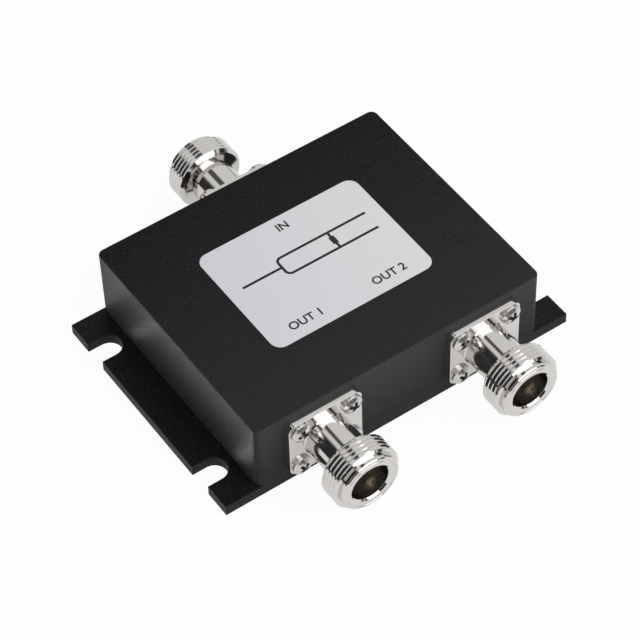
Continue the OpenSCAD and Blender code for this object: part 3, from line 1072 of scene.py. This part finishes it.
class SPLITTER_OT_contacts(bpy.types.Operator):
    """Round the tips of the centre contacts"""

    bl_idname = "splitter.contacts"
    bl_label = "Contacts"

    def execute(self, context):
        size = settings().jack
        tip = size.front - size.contact_depth
        radius, round_off = size.contact_radius, size.contact_round
        edge = arc((radius - round_off, tip - round_off), round_off, 1, 0)
        profile = [(AXIS_RADIUS, tip), *edge, (radius, -size.front), (AXIS_RADIUS, -size.front)]
        for name, spot in jack_places().items():
            envelope = closed_turned(profile)
            envelope.transform(spot)
            mesh = combined(node_solid(f"{name}_contact"), "INTERSECT", envelope)
            add_piece(f"{name}_socket", smoothed(mesh, CUT_CREASE), "Contact gold", "contact_gold",
                      f"{name}_contact")
        return {"FINISHED"}


class SPLITTER_OT_screws(bpy.types.Operator):
    """Set the flange screws of the three jacks"""

    bl_idname = "splitter.screws"
    bl_label = "Flange screws"

    def execute(self, context):
        size = settings()
        master = new_object("screw_master", screw_mesh())
        tree, identifiers = screw_tree()
        for count, (name, spot) in enumerate(jack_places().items()):
            points = bpy.data.meshes.new("spots")
            points.from_pydata([(x, y, 0.0) for x, y in hole_centres(size.jack)], [], [])
            values = {"Screw": master, "Height": size.jack.flange_thickness, "Seed": size.screw.seed + count}
            mesh = run_tree(tree, identifiers, values, points)
            mesh.transform(spot)
            add_piece(f"{name}_pan_screws", mesh, "Screw nickel", "screw_nickel", f"{name}_screws")
        bpy.data.objects.remove(master)
        return {"FINISHED"}


class SPLITTER_OT_label(bpy.types.Operator):
    """Build the label and its plain port marks"""

    bl_idname = "splitter.label"
    bl_label = "Label"

    def execute(self, context):
        size = settings().label
        middle = (LABEL_LOW + LABEL_HIGH) / 2
        width, depth = LABEL_HIGH.x - LABEL_LOW.x, LABEL_HIGH.y - LABEL_LOW.y
        face = LABEL_HIGH.z - size.print_height
        outline = rounded_outline(width, depth, size.corner_radius, (middle.x, middle.y))
        film = flat_solid([outline], LABEL_LOW.z, face, size.edge_round)
        add_piece("label_film", smoothed(film), "Label film", "label_silver", "label")
        marks = {
            "IN": (0.0, size.in_rise),
            "OUT 1": (-size.out_shift, -size.out_drop),
            "OUT 2": (size.out_shift, -size.out_drop),
        }
        work = bmesh.new()
        for words, (right, rise) in marks.items():
            centre = (middle.x + right * width, middle.y + rise * depth, face + size.print_height / 2)
            work.from_mesh(text_mesh(words, size.letter_height, size.print_height, centre))
        outlines = diagram_outlines(size, (middle.x, middle.y + size.diagram_rise * depth))
        work.from_mesh(flat_solid(outlines, face, LABEL_HIGH.z))
        add_piece("label_print", written(work), "Label ink", None)
        return {"FINISHED"}


class SPLITTER_OT_stage(bpy.types.Operator):
    """Set up the floor, the light and the camera"""

    bl_idname = "splitter.stage"
    bl_label = "Stage"

    def execute(self, context):
        look = settings().stage
        self.add_floor(look)
        self.add_tent(look)
        self.add_key(look)
        self.add_camera(look)
        bpy.context.scene.view_settings.view_transform = "Standard"
        return {"FINISHED"}

    @staticmethod
    def add_floor(look):
        """A plain white floor that keeps the shadow."""
        rim = circle(look.floor_centre, look.floor_radius)
        mesh = bpy.data.meshes.new("floor")
        mesh.from_pydata([(x, y, 0.0) for x, y in rim], [], [range(len(rim))])
        floor = new_object("floor", mesh)
        material = bpy.data.materials.new("Floor")
        graph = empty_graph(material)
        seen, mirrored, passed = graph.add(
            "ShaderNodeLightPath", out=("Is Camera Ray", "Is Glossy Ray", "Is Transmission Ray"))
        shown = seen.math("MAXIMUM", mirrored * look.floor_mirrored).math("MAXIMUM", passed)
        matt = graph.add("ShaderNodeBsdfDiffuse", {"Color": (*look.floor_colour, 1.0)})
        white = graph.add("ShaderNodeEmission", {"Color": WHITE, "Strength": 1.0})
        blend = graph.add("ShaderNodeMixShader", {0: shown * look.floor_glow, 1: matt, 2: white})
        graph.add("ShaderNodeOutputMaterial", {"Surface": blend})
        mesh.materials.append(material)

    @staticmethod
    def add_tent(look):
        """A pale light tent, white to the camera, with an opening, a seam, a gap at the floor and a stand."""
        world = bpy.data.worlds.new("Light tent")
        graph = empty_graph(world)
        way = graph.add("ShaderNodeTexCoord", out="Generated")

        def along(direction):
            """How far the looked-at direction leans along another."""
            return graph.add("ShaderNodeVectorMath", {0: way, 1: direction}, out="Value",
                             operation="DOT_PRODUCT")

        backward, upward = along(BACK), along(UP)
        panel = along((-0.8, -0.4, 0.44)).rising(0.87, 0.04)
        roof = upward.rising(0.78, 0.05)
        opening = 1 - along((0.7, 0.71, -0.05)).rising(-0.02, 0.04)
        opening = opening * (1 - panel.math("MAXIMUM", roof))
        spread = (backward - 0.5).math("MAXIMUM", 0.0).math("MINIMUM", 0.09) * 0.8
        seam = 1 - along((0.996, 0.0, 0.089)).math("ABSOLUTE").rising(spread + 0.085, 0.05)
        seam = seam * backward.rising(0.15, 0.05)
        gap = 1 - upward.math("ABSOLUTE").rising(0.06, 0.05)
        gap = gap * (1 - along(RIGHT).rising(0.75, 0.1))
        stand = along((0.84, -0.49, 0.24)).rising(0.985, 0.008)
        dark = opening.math("MAXIMUM", seam * look.seam_share).math("MAXIMUM", gap).math("MAXIMUM", stand)
        seen = graph.add("ShaderNodeLightPath", out="Is Camera Ray")
        level = (look.tent_level - dark * (look.tent_level - look.dark_level)).math("MAXIMUM", seen)
        light = graph.add("ShaderNodeBackground", {"Color": WHITE, "Strength": level})
        graph.add("ShaderNodeOutputWorld", {"Surface": light})
        bpy.context.scene.world = world

    @staticmethod
    def add_key(look):
        """A softbox that points at the object."""
        lamp = bpy.data.lights.new("key softbox", "AREA")
        lamp.shape = "RECTANGLE"
        lamp.energy = look.key_power
        lamp.size, lamp.size_y = look.key_width, look.key_height
        holder = new_object("key softbox", lamp)
        holder.location = look.key_place
        holder.rotation_euler = (-Vector(look.key_place)).to_track_quat("-Z", "Y").to_euler()

    @staticmethod
    def add_camera(look):
        """The camera at the photograph's angle."""
        az, el = look.azimuth, look.elevation
        back = Vector((math.sin(az) * math.cos(el), -math.cos(az) * math.cos(el), math.sin(el)))
        level = Vector((math.cos(az), math.sin(az), 0.0))
        rise = back.cross(level)
        right = level * math.cos(look.roll) + rise * math.sin(look.roll)
        turn = Matrix((right, back.cross(right), back)).transposed()
        camera = bpy.data.cameras.new("camera")
        camera.sensor_width = 36.0
        camera.lens = look.lens
        camera.clip_start = 0.01
        holder = new_object("camera", camera)
        holder.matrix_world = Matrix.Translation(Vector(look.aim) + back * look.distance) @ turn.to_4x4()
        bpy.context.scene.camera = holder


class SPLITTER_PT_panel(bpy.types.Panel):
    """The splitter's settings and build steps"""

    bl_label = "Power splitter"
    bl_idname = "SPLITTER_PT_panel"
    bl_space_type = "VIEW_3D"
    bl_region_type = "UI"
    bl_category = "Splitter"

    def draw(self, context):
        for step in STEPS:
            self.layout.operator(step.bl_idname)
        for group in SplitterSettings.__annotations__:
            box = self.layout.box()
            box.label(text=group.capitalize())
            values = getattr(context.scene.splitter, group)
            for name in values.__annotations__:
                box.prop(values, name)


GROUPS = (BoxSettings, JackSettings, ScrewSettings, LabelSettings, FinishSettings, StageSettings,
          SplitterSettings)
STEPS = (SPLITTER_OT_finishes, SPLITTER_OT_housing, SPLITTER_OT_jacks, SPLITTER_OT_contacts,
         SPLITTER_OT_screws, SPLITTER_OT_label, SPLITTER_OT_stage)


def register():
    """Add the classes and the scene's settings."""
    for cls in GROUPS + STEPS + (SPLITTER_PT_panel,):
        bpy.utils.register_class(cls)
    bpy.types.Scene.splitter = PointerProperty(type=SplitterSettings)


def unregister():
    """Take the settings and classes away again."""
    del bpy.types.Scene.splitter
    for cls in reversed(GROUPS + STEPS + (SPLITTER_PT_panel,)):
        bpy.utils.unregister_class(cls)


def main():
    register()
    bpy.ops.splitter.finishes()
    bpy.ops.splitter.housing()
    bpy.ops.splitter.jacks()
    bpy.ops.splitter.contacts()
    bpy.ops.splitter.screws()
    bpy.ops.splitter.label()
    bpy.ops.splitter.stage()


if __name__ == "__main__":
    main()
